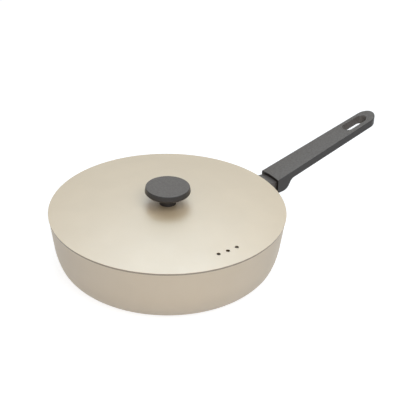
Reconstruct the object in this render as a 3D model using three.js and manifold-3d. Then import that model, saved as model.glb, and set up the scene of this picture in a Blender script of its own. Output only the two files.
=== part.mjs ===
// A saute pan with its lid: a drawn aluminium pan with a moulded handle, and a domed lid with a knob.
// Millimetres, +Z up. The origin is the middle of the base, on the surface that the pan stands on.
// The handle points along +X.

import * as THREE from 'three';
import { mergeVertices } from 'three/addons/utils/BufferGeometryUtils.js';
import Module from 'manifold-3d';

const wasm = await Module();
wasm.setup();

// Pan body: a wall with draft, which curves through a wide belly and a corner into a flat base
const RIM_RADIUS = 142.4;
const PAN_HEIGHT = 72.5;
const WALL = 2.5;
const BASE_THICKNESS = 4.5;
const WALL_DRAFT = 7.5; // degrees from upright
const BELLY_ANGLE = 21; // degrees from upright, where the belly runs into the corner
const BELLY_RADIUS = 89;
const CORNER_RADIUS = 25;
const RIM_CHAMFER = 0.4;

// Induction plate, let into the underside of the base
const PLATE_MARGIN = 17.2; // from its edge to the end of the flat base
const PLATE_THICKNESS = 0.8;

// Handle: a slim bar that rises away from the pan, deeper at the front where it guards the fingers
const HANDLE_TILT = 14.2; // degrees above level
const HANDLE_REACH = 172.4; // level distance from the front face to the tip
const HANDLE_FRONT_WIDTH = 33.4;
const HANDLE_END_WIDTH = 27.2;
const HANDLE_THICKNESS = 9.4;
const HANDLE_DROP = 2.05; // from the rim down to the top of its front edge
const FINGER_GUARD_DEPTH = 18.45; // height of the front face
const FINGER_GUARD_RUN = 7.4; // how far its underside runs before it turns up
const FINGER_GUARD_RISE = 0.3; // how much that underside climbs on the way
const FINGER_GUARD_LENGTH = 25.5; // along the handle, up to where the slim bar begins
const HEEL_PULL = 14.4; // how fully the turn rounds out at the bottom
const THROAT_PULL = 9.7; // and at the top

// Hanging slot near the tip
const SLOT_LENGTH = 33.5;
const SLOT_SIDE_WALL = 6.1;
const SLOT_END_WALL = 12.6;

// Flame guard: a shell between the wall and the handle, which flares towards the wall
const FLAME_GUARD_REACH = 16.6; // from the rim's radius to the handle's front face
const FLAME_GUARD_SIDE = 3.1; // from the handle's side in to the guard
const FLAME_GUARD_TOP_DROP = 3.25; // from the handle's front edge down to the guard's top
const FLAME_GUARD_FOOT = 2.2; // from the handle's foot up to the guard
const FLAME_GUARD_CROWN = 0.4; // how much its top bows up in the middle
const FLAME_GUARD_WALL = 1.4;
const FLAME_GUARD_CORNER = 2.2;
const FLAME_GUARD_FLARE = 2.2; // extra on each side where it meets the wall
const SOCKET_DEPTH = 3; // how far it enters the handle

// Stud welded to the wall inside the flame guard, and the screw that draws the handle on to it
const STUD_SIDE_GAP = 3.2; // to the flame guard's inside
const STUD_TOP_GAP = 0.9;
const STUD_SETBACK = 2; // from the end of the stud to the socket's floor
const STUD_THREAD_SPARE = 2; // thread left beyond the screw's tip
const HANDLE_WEB = 6; // handle material between the socket and the screw's seat
const SCREW_RADIUS = 2.5;
const SCREW_HEAD_RADIUS = 4.6;
const SCREW_HEAD_HEIGHT = 3;
const SCREW_GRIP = 10; // length of screw in its thread
const DRIVE_WIDTH = 4; // across the flats of the screw's socket
const DRIVE_DEPTH = 1.8;
const SPRING_WASHER_INSET = 0.2; // from the edge of the screw's head
const SPRING_WASHER_THICKNESS = 1.2;
const SPRING_WASHER_SPLIT = 16; // degrees of the ring left open

// Lid: a shallow dome, flush with the rim, with a skirt that keeps it centred
const LID_OVERHANG = 0.6; // past the rim
const LID_EDGE = 1.5; // thickness over the rim
const LID_RISE = 8;
const LID_WALL = 2;
const LID_UNDERCUT = 0.9; // slope under the outer edge
const LID_PAD_MARGIN = 1.8; // flat left round the knob's stem
const SKIRT_DEPTH = 6;
const SKIRT_WALL = 2;

// Steam vents, in a row along the lid's edge, on the side a quarter turn from the handle
const VENT_COUNT = 3;
const VENT_RADIUS = 2.2;
const VENT_INSET = 23; // from the lid's edge
const VENT_PITCH = 13;
const VENT_BEARING = -90; // degrees from the handle

// Knob: a thick disc on a stem, held by a screw into a brass insert
const KNOB_RADIUS = 27.4;
const KNOB_TOP_INSET = 1.6; // how far its side rounds in at the top
const KNOB_TOP_RISE = 5.65; // from its widest line up to the top
const KNOB_UNDER_INSET = 1.8;
const KNOB_UNDER_RISE = 2.4; // from its underside up to the widest line
const STEM_RADIUS = 10.2;
const STEM_HEIGHT = 14.3;
const STEM_FILLET = 2;
const INSERT_WALL = 2.3; // brass round the thread
const INSERT_SPARE = 3; // thread left beyond the screw's tip
const KNOB_WASHER_MARGIN = 3.4; // past the screw's head
const KNOB_WASHER_THICKNESS = 1.2;

// Clearances
const SEAT_GAP = 0.3; // where a piece beds on the curved wall or in a socket
const PLATE_GAP = 0.3; // round the induction plate
const SKIRT_GAP = 0.9; // from the skirt's foot to the wall
const THREAD_GAP = 0.2; // screw to threaded hole, on the radius
const HOLE_GAP = 0.4; // screw to plain hole, on the radius
const HEAD_GAP = 0.7; // screw head to its recess, on the radius
const INSERT_GAP = 0.1; // brass insert to the knob, on the radius
const CUT_OVERRUN = 5; // how far a cutting shape runs past what it cuts

// Facets round each kind of turned piece, and along each kind of curve
const PAN_FACETS = 60;
const KNOB_FACETS = 36;
const SMALL_FACETS = 24;
const WIDE_ARC_STEPS = 4;
const CORNER_STEPS = 6;
const DOME_STEPS = 8;
const ROUND_STEPS = 4;
const CURVE_STEPS = 10;

// Levels and places that several pieces share
const DRAFT = THREE.MathUtils.degToRad(WALL_DRAFT);
const BELLY_END = THREE.MathUtils.degToRad(BELLY_ANGLE);
const TILT = THREE.MathUtils.degToRad(HANDLE_TILT);
const ALONG = new THREE.Vector2(Math.cos(TILT), Math.sin(TILT));
const DOWN = new THREE.Vector2(Math.sin(TILT), -Math.cos(TILT));
const INNER_RIM_RADIUS = RIM_RADIUS - WALL / Math.cos(DRAFT);
const PLATE_RADIUS = outerWall(0)[0].x - PLATE_MARGIN;
const HANDLE_FRONT = RIM_RADIUS + FLAME_GUARD_REACH;
const HANDLE_TOP = PAN_HEIGHT - HANDLE_DROP;
const SLOT_WIDTH = HANDLE_END_WIDTH - 2 * SLOT_SIDE_WALL;
const FLAME_GUARD_TOP = HANDLE_TOP - FLAME_GUARD_TOP_DROP;
const FLAME_GUARD_WIDTH = HANDLE_FRONT_WIDTH - 2 * FLAME_GUARD_SIDE;
const FLAME_GUARD_HEIGHT = FINGER_GUARD_DEPTH - FLAME_GUARD_TOP_DROP - FLAME_GUARD_FOOT;
const STUD_WIDTH = FLAME_GUARD_WIDTH - 2 * (FLAME_GUARD_WALL + STUD_SIDE_GAP);
const STUD_HEIGHT = FLAME_GUARD_HEIGHT - 2 * (FLAME_GUARD_WALL + STUD_TOP_GAP);
const SCREW_LEVEL = FLAME_GUARD_TOP - FLAME_GUARD_HEIGHT / 2;
const SOCKET_FLOOR = HANDLE_FRONT + SOCKET_DEPTH;
const SCREW_SEAT = SOCKET_FLOOR + HANDLE_WEB;
const STUD_END = SOCKET_FLOOR - STUD_SETBACK;
const LID_RADIUS = RIM_RADIUS + LID_OVERHANG;
const LID_APEX = PAN_HEIGHT + LID_EDGE + LID_RISE;
const LID_PAD_RADIUS = STEM_RADIUS + LID_PAD_MARGIN;
const VENT_CIRCLE = LID_RADIUS - VENT_INSET;
const PAD_TOP = domeHeight(LID_PAD_RADIUS);
const PAD_UNDER = PAD_TOP - LID_WALL;
const KNOB_UNDERSIDE = PAD_TOP + STEM_HEIGHT;
const KNOB_WIDEST = KNOB_UNDERSIDE + KNOB_UNDER_RISE;
const KNOB_TOP = KNOB_WIDEST + KNOB_TOP_RISE;
const INSERT_RADIUS = SCREW_RADIUS + THREAD_GAP + INSERT_WALL;
const INSERT_TOP = PAD_TOP + SCREW_GRIP + INSERT_SPARE;

// Finishes
const beigeCoat = { color: 0xcdc1aa, roughness: 0.42, metalness: 0 };
const phenolic = { color: 0x4b4a4b, roughness: 0.55, metalness: 0 };
const darkPaint = { color: 0x454548, roughness: 0.5, metalness: 0 };
const steel = { color: 0xb4b6b8, roughness: 0.35, metalness: 1 };
const aluminium = { color: 0xc6c8ca, roughness: 0.4, metalness: 1 };
const brass = { color: 0xb99a52, roughness: 0.35, metalness: 1 };

// Points of an arc about a centre, in a profile of radius and height; angles in radians
function arc(centreX, centreY, radius, from, to, steps) {
  const points = [];
  for (let i = 0; i <= steps; i++) {
    const angle = from + ((to - from) * i) / steps;
    points.push(new THREE.Vector2(centreX + radius * Math.cos(angle), centreY + radius * Math.sin(angle)));
  }
  return points;
}

function point(x, y) {
  return new THREE.Vector2(x, y);
}

// A turned piece about the Z axis, from a profile of radius and height
function turned(profile, facets) {
  return new THREE.LatheGeometry(profile, facets).rotateX(Math.PI / 2);
}

// A piece of constant section along +X; the section is drawn with Y across and Z up
function alongX(section, start, length, curveSegments) {
  const bar = new THREE.ExtrudeGeometry(section, { depth: length, bevelEnabled: false, curveSegments });
  return bar.rotateX(Math.PI / 2).rotateZ(Math.PI / 2).translate(start, 0, 0);
}

// A closed mesh as a solid that can be joined and cut
function solid(geometry) {
  const bare = geometry.clone();
  bare.deleteAttribute('normal');
  bare.deleteAttribute('uv');
  const merged = mergeVertices(bare);
  const corners = merged.index.array;
  const triangles = [];
  for (let i = 0; i < corners.length; i += 3) {
    const [a, b, c] = corners.slice(i, i + 3);
    if (a !== b && b !== c && c !== a) {
      triangles.push(a, b, c);
    }
  }
  return new wasm.Manifold(
    new wasm.Mesh({
      numProp: 3,
      vertProperties: Float32Array.from(merged.attributes.position.array),
      triVerts: Uint32Array.from(triangles),
    }),
  );
}

// A solid back as a mesh geometry
function geometryOf(body) {
  const mesh = body.getMesh();
  const geometry = new THREE.BufferGeometry();
  geometry.setAttribute('position', new THREE.BufferAttribute(Float32Array.from(mesh.vertProperties), 3));
  geometry.setIndex(new THREE.BufferAttribute(Uint32Array.from(mesh.triVerts), 1));
  geometry.computeVertexNormals();
  return geometry;
}

function piece(name, geometry, finish) {
  const mesh = new THREE.Mesh(geometry, new THREE.MeshStandardMaterial(finish));
  mesh.name = name;
  return mesh;
}

// Height of the lid's top at a radius: a shallow dome that ends at the edge
function domeHeight(radius) {
  return LID_APEX - LID_RISE * (radius / LID_RADIUS) ** 2;
}

// One side of the pan's wall, from the flat base up to the rim
function wallCurve(rimRadius, floor, bellyRadius, cornerRadius) {
  const bellyDrop = bellyRadius * (Math.sin(BELLY_END) - Math.sin(DRAFT));
  const cornerDrop = cornerRadius * (1 - Math.sin(BELLY_END));
  const straightDrop = PAN_HEIGHT - floor - bellyDrop - cornerDrop;
  const bellyX = rimRadius - straightDrop * Math.tan(DRAFT) - bellyRadius * Math.cos(DRAFT);
  const bellyY = PAN_HEIGHT - straightDrop + bellyRadius * Math.sin(DRAFT);
  const cornerX = bellyX + (bellyRadius - cornerRadius) * Math.cos(BELLY_END);
  const cornerY = floor + cornerRadius;
  const corner = arc(cornerX, cornerY, cornerRadius, -Math.PI / 2, -BELLY_END, CORNER_STEPS);
  const belly = arc(bellyX, bellyY, bellyRadius, -BELLY_END, -DRAFT, WIDE_ARC_STEPS);
  return [...corner, ...belly.slice(1)];
}

function outerWall(growth) {
  return wallCurve(RIM_RADIUS + growth, 0, BELLY_RADIUS + growth, CORNER_RADIUS + growth);
}

function innerWall() {
  return wallCurve(INNER_RIM_RADIUS, BASE_THICKNESS, BELLY_RADIUS - WALL, CORNER_RADIUS - WALL);
}

// The pan's outside as a plain solid, grown by the seat gap: what stands on the wall is cut by it
function wallEnvelope() {
  const profile = [
    point(0, 0),
    ...outerWall(SEAT_GAP),
    point(RIM_RADIUS + SEAT_GAP, PAN_HEIGHT),
    point(0, PAN_HEIGHT),
  ];
  return solid(turned(profile, PAN_FACETS));
}

function panBody() {
  const recess = PLATE_RADIUS + PLATE_GAP;
  const profile = [
    point(0, PLATE_THICKNESS),
    point(recess, PLATE_THICKNESS),
    point(recess, 0),
    ...outerWall(0),
    point(RIM_RADIUS - RIM_CHAMFER * Math.tan(DRAFT), PAN_HEIGHT - RIM_CHAMFER),
    point(RIM_RADIUS - RIM_CHAMFER, PAN_HEIGHT),
    point(INNER_RIM_RADIUS + RIM_CHAMFER, PAN_HEIGHT),
    point(INNER_RIM_RADIUS - RIM_CHAMFER * Math.tan(DRAFT), PAN_HEIGHT - RIM_CHAMFER),
    ...innerWall().reverse(),
    point(0, BASE_THICKNESS),
  ];
  return turned(profile, PAN_FACETS);
}

function inductionPlate() {
  const profile = [
    point(0, 0),
    point(PLATE_RADIUS, 0),
    point(PLATE_RADIUS, PLATE_THICKNESS),
    point(0, PLATE_THICKNESS),
  ];
  return turned(profile, PAN_FACETS);
}

// A point of the handle's side view, from a distance along its top and a depth below it
function onHandle(along, depth) {
  return point(HANDLE_FRONT, HANDLE_TOP).addScaledVector(ALONG, along).addScaledVector(DOWN, depth);
}

// The handle's outline from the side, drawn upright, so the front face is vertical
function handleSide() {
  const length = HANDLE_REACH / ALONG.x + CUT_OVERRUN;
  const tip = onHandle(length, 0);
  const tipUnder = onHandle(length, HANDLE_THICKNESS);
  const throat = onHandle(FINGER_GUARD_LENGTH, HANDLE_THICKNESS);
  const foot = point(HANDLE_FRONT, HANDLE_TOP - FINGER_GUARD_DEPTH);
  const under = point(FINGER_GUARD_RUN, FINGER_GUARD_RISE);
  const heel = foot.clone().add(under);
  const throatPull = throat.clone().addScaledVector(ALONG, -THROAT_PULL);
  const heelPull = heel.clone().addScaledVector(under.normalize(), HEEL_PULL);
  const side = new THREE.Shape();
  side.moveTo(foot.x, foot.y);
  side.lineTo(heel.x, heel.y);
  side.bezierCurveTo(heelPull.x, heelPull.y, throatPull.x, throatPull.y, throat.x, throat.y);
  side.lineTo(tipUnder.x, tipUnder.y);
  side.lineTo(tip.x, tip.y);
  side.lineTo(HANDLE_FRONT, HANDLE_TOP);
  side.closePath();
  return side;
}

// The handle's outline from above: a tapered bar with a round end and the hanging slot
function handlePlan() {
  const endRadius = HANDLE_END_WIDTH / 2;
  const tip = HANDLE_FRONT + HANDLE_REACH;
  const plan = new THREE.Shape();
  plan.moveTo(HANDLE_FRONT, -HANDLE_FRONT_WIDTH / 2);
  plan.lineTo(tip - endRadius, -endRadius);
  plan.absarc(tip - endRadius, 0, endRadius, -Math.PI / 2, Math.PI / 2);
  plan.lineTo(HANDLE_FRONT, HANDLE_FRONT_WIDTH / 2);
  plan.closePath();
  const slotRadius = SLOT_WIDTH / 2;
  const slotFar = tip - SLOT_END_WALL - slotRadius;
  const slotNear = slotFar - SLOT_LENGTH + SLOT_WIDTH;
  const slot = new THREE.Path();
  slot.absarc(slotFar, 0, slotRadius, -Math.PI / 2, Math.PI / 2);
  slot.absarc(slotNear, 0, slotRadius, Math.PI / 2, (3 * Math.PI) / 2);
  slot.closePath();
  plan.holes.push(slot);
  return plan;
}

// The flame guard's section, with Y across and Z up; growth makes it larger all round
function flameGuardSection(growth) {
  const half = FLAME_GUARD_WIDTH / 2 + growth;
  const bottom = FLAME_GUARD_TOP - FLAME_GUARD_HEIGHT - growth;
  const shoulder = FLAME_GUARD_TOP - FLAME_GUARD_CROWN + growth;
  const r = Math.max(FLAME_GUARD_CORNER + growth, SEAT_GAP);
  const crown = FLAME_GUARD_TOP + FLAME_GUARD_CROWN + growth;
  const path = new THREE.Shape();
  path.absarc(-half + r, bottom + r, r, Math.PI, (3 * Math.PI) / 2);
  path.absarc(half - r, bottom + r, r, -Math.PI / 2, 0);
  path.absarc(half - r, shoulder - r, r, 0, Math.PI / 2);
  path.quadraticCurveTo(0, crown, -half + r, shoulder);
  path.absarc(-half + r, shoulder - r, r, Math.PI / 2, Math.PI);
  path.closePath();
  return path;
}

// Widens the end of the flame guard that meets the wall
function flare(geometry, start, length) {
  const place = geometry.attributes.position;
  for (let i = 0; i < place.count; i++) {
    const share = (start + length - place.getX(i)) / length;
    const wide = 1 + (share * FLAME_GUARD_FLARE) / (FLAME_GUARD_WIDTH / 2);
    const high = 1 + (share * FLAME_GUARD_FLARE) / FLAME_GUARD_HEIGHT;
    place.setY(i, place.getY(i) * wide);
    place.setZ(i, SCREW_LEVEL + (place.getZ(i) - SCREW_LEVEL) * high);
  }
  return geometry;
}

function flameGuard() {
  const section = flameGuardSection(0);
  section.holes.push(flameGuardSection(-FLAME_GUARD_WALL));
  const start = RIM_RADIUS - FLAME_GUARD_REACH;
  const length = SOCKET_FLOOR - SEAT_GAP - start;
  const shell = solid(flare(alongX(section, start, length, ROUND_STEPS), start, length));
  return geometryOf(shell.subtract(wallEnvelope()));
}

function handleStud() {
  const section = new THREE.Shape();
  section.moveTo(-STUD_WIDTH / 2, SCREW_LEVEL - STUD_HEIGHT / 2);
  section.lineTo(STUD_WIDTH / 2, SCREW_LEVEL - STUD_HEIGHT / 2);
  section.lineTo(STUD_WIDTH / 2, SCREW_LEVEL + STUD_HEIGHT / 2);
  section.lineTo(-STUD_WIDTH / 2, SCREW_LEVEL + STUD_HEIGHT / 2);
  section.closePath();
  const start = RIM_RADIUS - FLAME_GUARD_REACH;
  const block = solid(alongX(section, start, STUD_END - start, ROUND_STEPS));
  const depth = SCREW_GRIP + STUD_THREAD_SPARE;
  const bore = disc(SCREW_RADIUS + THREAD_GAP);
  const tap = alongX(bore, STUD_END - depth, depth + CUT_OVERRUN, SMALL_FACETS / 2);
  return geometryOf(block.subtract(wallEnvelope()).subtract(solid(tap)));
}

// A round section on the screw's axis
function disc(radius) {
  return new THREE.Shape().absarc(0, SCREW_LEVEL, radius, 0, 2 * Math.PI);
}

function handle() {
  const side = new THREE.ExtrudeGeometry(handleSide(), {
    depth: HANDLE_FRONT_WIDTH * 2,
    bevelEnabled: false,
    curveSegments: CURVE_STEPS,
  });
  side.rotateX(Math.PI / 2).translate(0, HANDLE_FRONT_WIDTH, 0);
  const tipHeight = HANDLE_TOP + HANDLE_REACH * Math.tan(TILT);
  const plan = new THREE.ExtrudeGeometry(handlePlan(), {
    depth: tipHeight + CUT_OVERRUN,
    bevelEnabled: false,
    curveSegments: CURVE_STEPS,
  });
  const front = HANDLE_FRONT - CUT_OVERRUN;
  const far = HANDLE_FRONT + FINGER_GUARD_LENGTH * 2;
  const socket = alongX(flameGuardSection(SEAT_GAP), front, SOCKET_FLOOR - front, ROUND_STEPS);
  const bore = alongX(disc(SCREW_RADIUS + HOLE_GAP), front, far - front, SMALL_FACETS / 2);
  const recess = alongX(disc(SCREW_HEAD_RADIUS + HEAD_GAP), SCREW_SEAT, far - SCREW_SEAT, SMALL_FACETS / 2);
  const body = solid(plan).intersect(solid(side));
  return geometryOf(body.subtract(solid(socket)).subtract(solid(bore)).subtract(solid(recess)));
}

// A split ring against the screw's seat
function handleSpringWasher() {
  const open = THREE.MathUtils.degToRad(SPRING_WASHER_SPLIT) / 2;
  const ring = new THREE.Shape();
  ring.absarc(0, SCREW_LEVEL, SCREW_HEAD_RADIUS - SPRING_WASHER_INSET, open, 2 * Math.PI - open);
  ring.absarc(0, SCREW_LEVEL, SCREW_RADIUS + HOLE_GAP, 2 * Math.PI - open, open, true);
  ring.closePath();
  return alongX(ring, SCREW_SEAT, SPRING_WASHER_THICKNESS, SMALL_FACETS / 2);
}

// A pan-head screw along Z: the shank from zero up to its length, the head below zero, with a hex socket
function screw(length) {
  const round = SCREW_HEAD_HEIGHT / 2;
  const profile = [
    point(0, -SCREW_HEAD_HEIGHT),
    ...arc(SCREW_HEAD_RADIUS - round, -round, round, -Math.PI / 2, 0, ROUND_STEPS),
    point(SCREW_HEAD_RADIUS, 0),
    point(SCREW_RADIUS, 0),
    point(SCREW_RADIUS, length - SCREW_RADIUS / 2),
    point(SCREW_RADIUS / 2, length),
    point(0, length),
  ];
  const body = solid(turned(profile, SMALL_FACETS));
  const keyRadius = DRIVE_WIDTH / Math.sqrt(3);
  const key = new THREE.CylinderGeometry(keyRadius, keyRadius, DRIVE_DEPTH * 2, 6);
  key.rotateX(Math.PI / 2).translate(0, 0, -SCREW_HEAD_HEIGHT);
  return geometryOf(body.subtract(solid(key)));
}

function handleScrew() {
  const headUnder = SCREW_SEAT + SPRING_WASHER_THICKNESS;
  const length = headUnder - STUD_END + SCREW_GRIP;
  return screw(length).rotateY(-Math.PI / 2).translate(headUnder, 0, SCREW_LEVEL);
}

// The lid's dome, from one radius to another, at a depth below its top
function domeCurve(from, to, depth) {
  const points = [];
  for (let i = 0; i <= DOME_STEPS; i++) {
    const radius = from + ((to - from) * i) / DOME_STEPS;
    points.push(point(radius, domeHeight(radius) - depth));
  }
  return points;
}

function lidShell() {
  const hole = SCREW_RADIUS + HOLE_GAP;
  const foot = PAN_HEIGHT - SKIRT_DEPTH;
  const skirtOuter = INNER_RIM_RADIUS - SKIRT_DEPTH * Math.tan(DRAFT) - SKIRT_GAP;
  const skirtInner = skirtOuter - SKIRT_WALL;
  const profile = [
    point(hole, PAD_UNDER),
    ...domeCurve(LID_PAD_RADIUS, skirtInner, LID_WALL),
    point(skirtInner, foot),
    point(skirtOuter, foot),
    point(skirtOuter, PAN_HEIGHT),
    point(LID_RADIUS - LID_UNDERCUT, PAN_HEIGHT),
    point(LID_RADIUS, PAN_HEIGHT + LID_UNDERCUT),
    ...domeCurve(LID_RADIUS, LID_PAD_RADIUS, 0),
    point(hole, PAD_TOP),
    point(hole, PAD_UNDER),
  ];
  let shell = solid(turned(profile, PAN_FACETS));
  const drillLength = (LID_WALL + CUT_OVERRUN) * 2;
  for (let i = 0; i < VENT_COUNT; i++) {
    const offset = ((i - (VENT_COUNT - 1) / 2) * VENT_PITCH) / VENT_CIRCLE;
    const bearing = THREE.MathUtils.degToRad(VENT_BEARING) + offset;
    const drill = new THREE.CylinderGeometry(VENT_RADIUS, VENT_RADIUS, drillLength, SMALL_FACETS / 2);
    drill.rotateX(Math.PI / 2).translate(VENT_CIRCLE, 0, domeHeight(VENT_CIRCLE)).rotateZ(bearing);
    shell = shell.subtract(solid(drill));
  }
  return geometryOf(shell);
}

function knob() {
  const hollow = INSERT_RADIUS + INSERT_GAP;
  const side = new THREE.QuadraticBezierCurve(
    point(KNOB_RADIUS, KNOB_WIDEST),
    point(KNOB_RADIUS, KNOB_TOP),
    point(KNOB_RADIUS - KNOB_TOP_INSET, KNOB_TOP),
  );
  const under = new THREE.QuadraticBezierCurve(
    point(KNOB_RADIUS - KNOB_UNDER_INSET, KNOB_UNDERSIDE),
    point(KNOB_RADIUS, KNOB_UNDERSIDE),
    point(KNOB_RADIUS, KNOB_WIDEST),
  );
  const filletX = STEM_RADIUS + STEM_FILLET;
  const filletY = KNOB_UNDERSIDE - STEM_FILLET;
  const profile = [
    point(hollow, PAD_TOP),
    point(STEM_RADIUS, PAD_TOP),
    ...arc(filletX, filletY, STEM_FILLET, Math.PI, Math.PI / 2, ROUND_STEPS),
    ...under.getPoints(ROUND_STEPS),
    ...side.getPoints(ROUND_STEPS).slice(1),
    point(0, KNOB_TOP),
    point(0, INSERT_TOP),
    point(hollow, INSERT_TOP),
    point(hollow, PAD_TOP),
  ];
  return turned(profile, KNOB_FACETS);
}

// A plain ring between two radii and two heights
function ring(inner, outer, bottom, top) {
  const profile = [
    point(inner, bottom),
    point(outer, bottom),
    point(outer, top),
    point(inner, top),
    point(inner, bottom),
  ];
  return turned(profile, SMALL_FACETS);
}

function knobInsert() {
  return ring(SCREW_RADIUS + THREAD_GAP, INSERT_RADIUS, PAD_TOP, INSERT_TOP);
}

function knobWasher() {
  const radius = SCREW_HEAD_RADIUS + KNOB_WASHER_MARGIN;
  return ring(SCREW_RADIUS + HOLE_GAP, radius, PAD_UNDER - KNOB_WASHER_THICKNESS, PAD_UNDER);
}

function knobScrew() {
  const headUnder = PAD_UNDER - KNOB_WASHER_THICKNESS;
  return screw(PAD_TOP + SCREW_GRIP - headUnder).translate(0, 0, headUnder);
}

const pan = new THREE.Group();
pan.add(piece('pan_body', panBody(), beigeCoat));
pan.add(piece('induction_plate', inductionPlate(), steel));
pan.add(piece('handle_stud', handleStud(), aluminium));
pan.add(piece('flame_guard', flameGuard(), darkPaint));
pan.add(piece('handle', handle(), phenolic));
pan.add(piece('handle_spring_washer', handleSpringWasher(), steel));
pan.add(piece('handle_screw', handleScrew(), steel));

const lid = new THREE.Group();
lid.add(piece('lid_shell', lidShell(), beigeCoat));
lid.add(piece('knob', knob(), phenolic));
lid.add(piece('knob_insert', knobInsert(), brass));
lid.add(piece('knob_washer', knobWasher(), steel));
lid.add(piece('knob_screw', knobScrew(), steel));

const sautePan = new THREE.Group();
sautePan.add(pan, lid);

export default sautePan;
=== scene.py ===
# %% [markdown]
# # A saute pan with its lid
# The pan is drawn from aluminium and sprayed with a cream satin coat. Its handle and the lid's knob are
# moulded in a dark grey, slightly grainy plastic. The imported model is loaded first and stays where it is.
# It gives the places and sizes, and each smooth piece that is made here takes the place of one of its nodes.

# %% Load the frame
import math

import bpy
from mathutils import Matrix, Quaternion, Vector


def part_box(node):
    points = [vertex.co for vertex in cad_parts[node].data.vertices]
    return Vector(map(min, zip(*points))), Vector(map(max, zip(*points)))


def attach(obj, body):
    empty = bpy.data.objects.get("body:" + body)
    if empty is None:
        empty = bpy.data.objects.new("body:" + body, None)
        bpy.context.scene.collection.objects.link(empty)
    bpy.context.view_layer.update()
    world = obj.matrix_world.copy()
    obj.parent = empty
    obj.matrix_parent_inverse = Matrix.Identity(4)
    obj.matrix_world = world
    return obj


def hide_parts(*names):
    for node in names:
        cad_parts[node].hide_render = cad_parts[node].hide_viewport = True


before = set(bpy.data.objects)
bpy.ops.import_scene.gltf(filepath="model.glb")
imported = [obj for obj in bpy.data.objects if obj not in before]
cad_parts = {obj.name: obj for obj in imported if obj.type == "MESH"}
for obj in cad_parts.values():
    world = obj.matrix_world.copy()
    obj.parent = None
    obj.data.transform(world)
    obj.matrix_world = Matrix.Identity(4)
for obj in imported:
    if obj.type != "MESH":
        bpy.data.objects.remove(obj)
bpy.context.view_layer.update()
print("nodes:", sorted(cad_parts))

# %% [markdown]
# ## Sizes that come from the frame
# Blender works in metres here. The box round each node gives most of the sizes: a round node's half width is
# its radius, and its lowest and highest points are the levels that it sits between. A box comes as its two
# corners, the lowest first. Reading them instead of typing them again keeps the smooth pieces exactly on the
# solid ones.

# %% Read the main sizes
pan_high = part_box("pan_body")[1]
lid_low, lid_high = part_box("lid_shell")
knob_low, knob_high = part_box("knob")
handle_low, handle_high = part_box("handle")
guard_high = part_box("flame_guard")[1]
RIM_RADIUS = pan_high.x
PAN_HEIGHT = pan_high.z
LID_RADIUS = lid_high.x
PAD_TOP = knob_low.z
KNOB_RADIUS = knob_high.x
KNOB_TOP = knob_high.z
HANDLE_FRONT = handle_low.x
HANDLE_TIP = handle_high.x
print(f"pan: radius {RIM_RADIUS:.4f} m, height {PAN_HEIGHT:.4f} m; handle reaches {HANDLE_TIP:.4f} m")

# %% [markdown]
# ## Helpers for modelling by hand
# An operator acts on everything that is selected, and loading the frame leaves its nodes selected. So each
# piece starts by clearing the selection. Round pieces are drawn as half a section, point by point, and then
# spun about the upright axis, as a metal spinner or a lathe would make them. A spin leaves doubled points at
# its seam and at its middle, so these are merged and the faces are turned outwards.

# %% Select pieces, and spin a section into a round piece
MERGE = 1e-6
NEAR = 10 * MERGE


def clear_selection():
    """Leaves edit mode and selects nothing."""
    if bpy.context.object and bpy.context.object.mode != "OBJECT":
        bpy.ops.object.mode_set(mode="OBJECT")
    bpy.ops.object.select_all(action="DESELECT")


def select_only(piece):
    """Selects one piece alone and makes it the active one."""
    clear_selection()
    piece.select_set(True)
    bpy.context.view_layer.objects.active = piece


def edit_chosen(piece, kind, chosen):
    """Opens a piece in edit mode with only those edges or faces selected that pass a test."""
    select_only(piece)
    bpy.ops.object.mode_set(mode="EDIT")
    bpy.ops.mesh.select_mode(type=kind)
    bpy.ops.mesh.select_all(action="DESELECT")
    bpy.ops.object.mode_set(mode="OBJECT")
    for element in piece.data.edges if kind == "EDGE" else piece.data.polygons:
        element.select = chosen(element)
    bpy.ops.object.mode_set(mode="EDIT")


def draw_line(name, points):
    """A new piece that is one line of edges through these points, left in edit mode and all selected."""
    clear_selection()
    bpy.ops.mesh.primitive_plane_add(size=MERGE)
    piece = bpy.context.object
    piece.name = name
    bpy.ops.object.mode_set(mode="EDIT")
    bpy.ops.mesh.select_mode(type="VERT")
    bpy.ops.mesh.merge(type="CENTER")
    bpy.ops.transform.translate(value=points[0])
    for here, there in zip(points, points[1:]):
        bpy.ops.mesh.extrude_region_move(TRANSFORM_OT_translate={"value": Vector(there) - Vector(here)})
    bpy.ops.mesh.select_all(action="SELECT")
    return piece


def close_up():
    """Merges doubled points and turns all faces outwards, in edit mode."""
    bpy.ops.mesh.select_all(action="SELECT")
    bpy.ops.mesh.remove_doubles(threshold=MERGE)
    bpy.ops.mesh.normals_make_consistent(inside=False)


def spin_section(name, section, steps):
    """A round piece about the upright axis, from a section of (radius, height) points."""
    piece = draw_line(name, [(radius, 0, height) for radius, height in section])
    bpy.ops.mesh.spin(steps=steps, angle=math.tau, center=(0, 0, 0), axis=(0, 0, 1))
    close_up()
    bpy.ops.object.mode_set(mode="OBJECT")
    return piece


# %% [markdown]
# Sections are drawn from few points. An arc gives a round stretch, and a corner list gives straight
# stretches with a rounding at each corner, so that every edge catches a thin line of light.

# %% Draw arcs and rounded corners
def arc(centre, radius, start, end, steps):
    """Points of an arc in a section; angles in degrees, zero along the radius and ninety upwards."""
    turns = [math.radians(start + (end - start) * i / steps) for i in range(steps + 1)]
    return [(centre[0] + radius * math.cos(t), centre[1] + radius * math.sin(t)) for t in turns]


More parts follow.
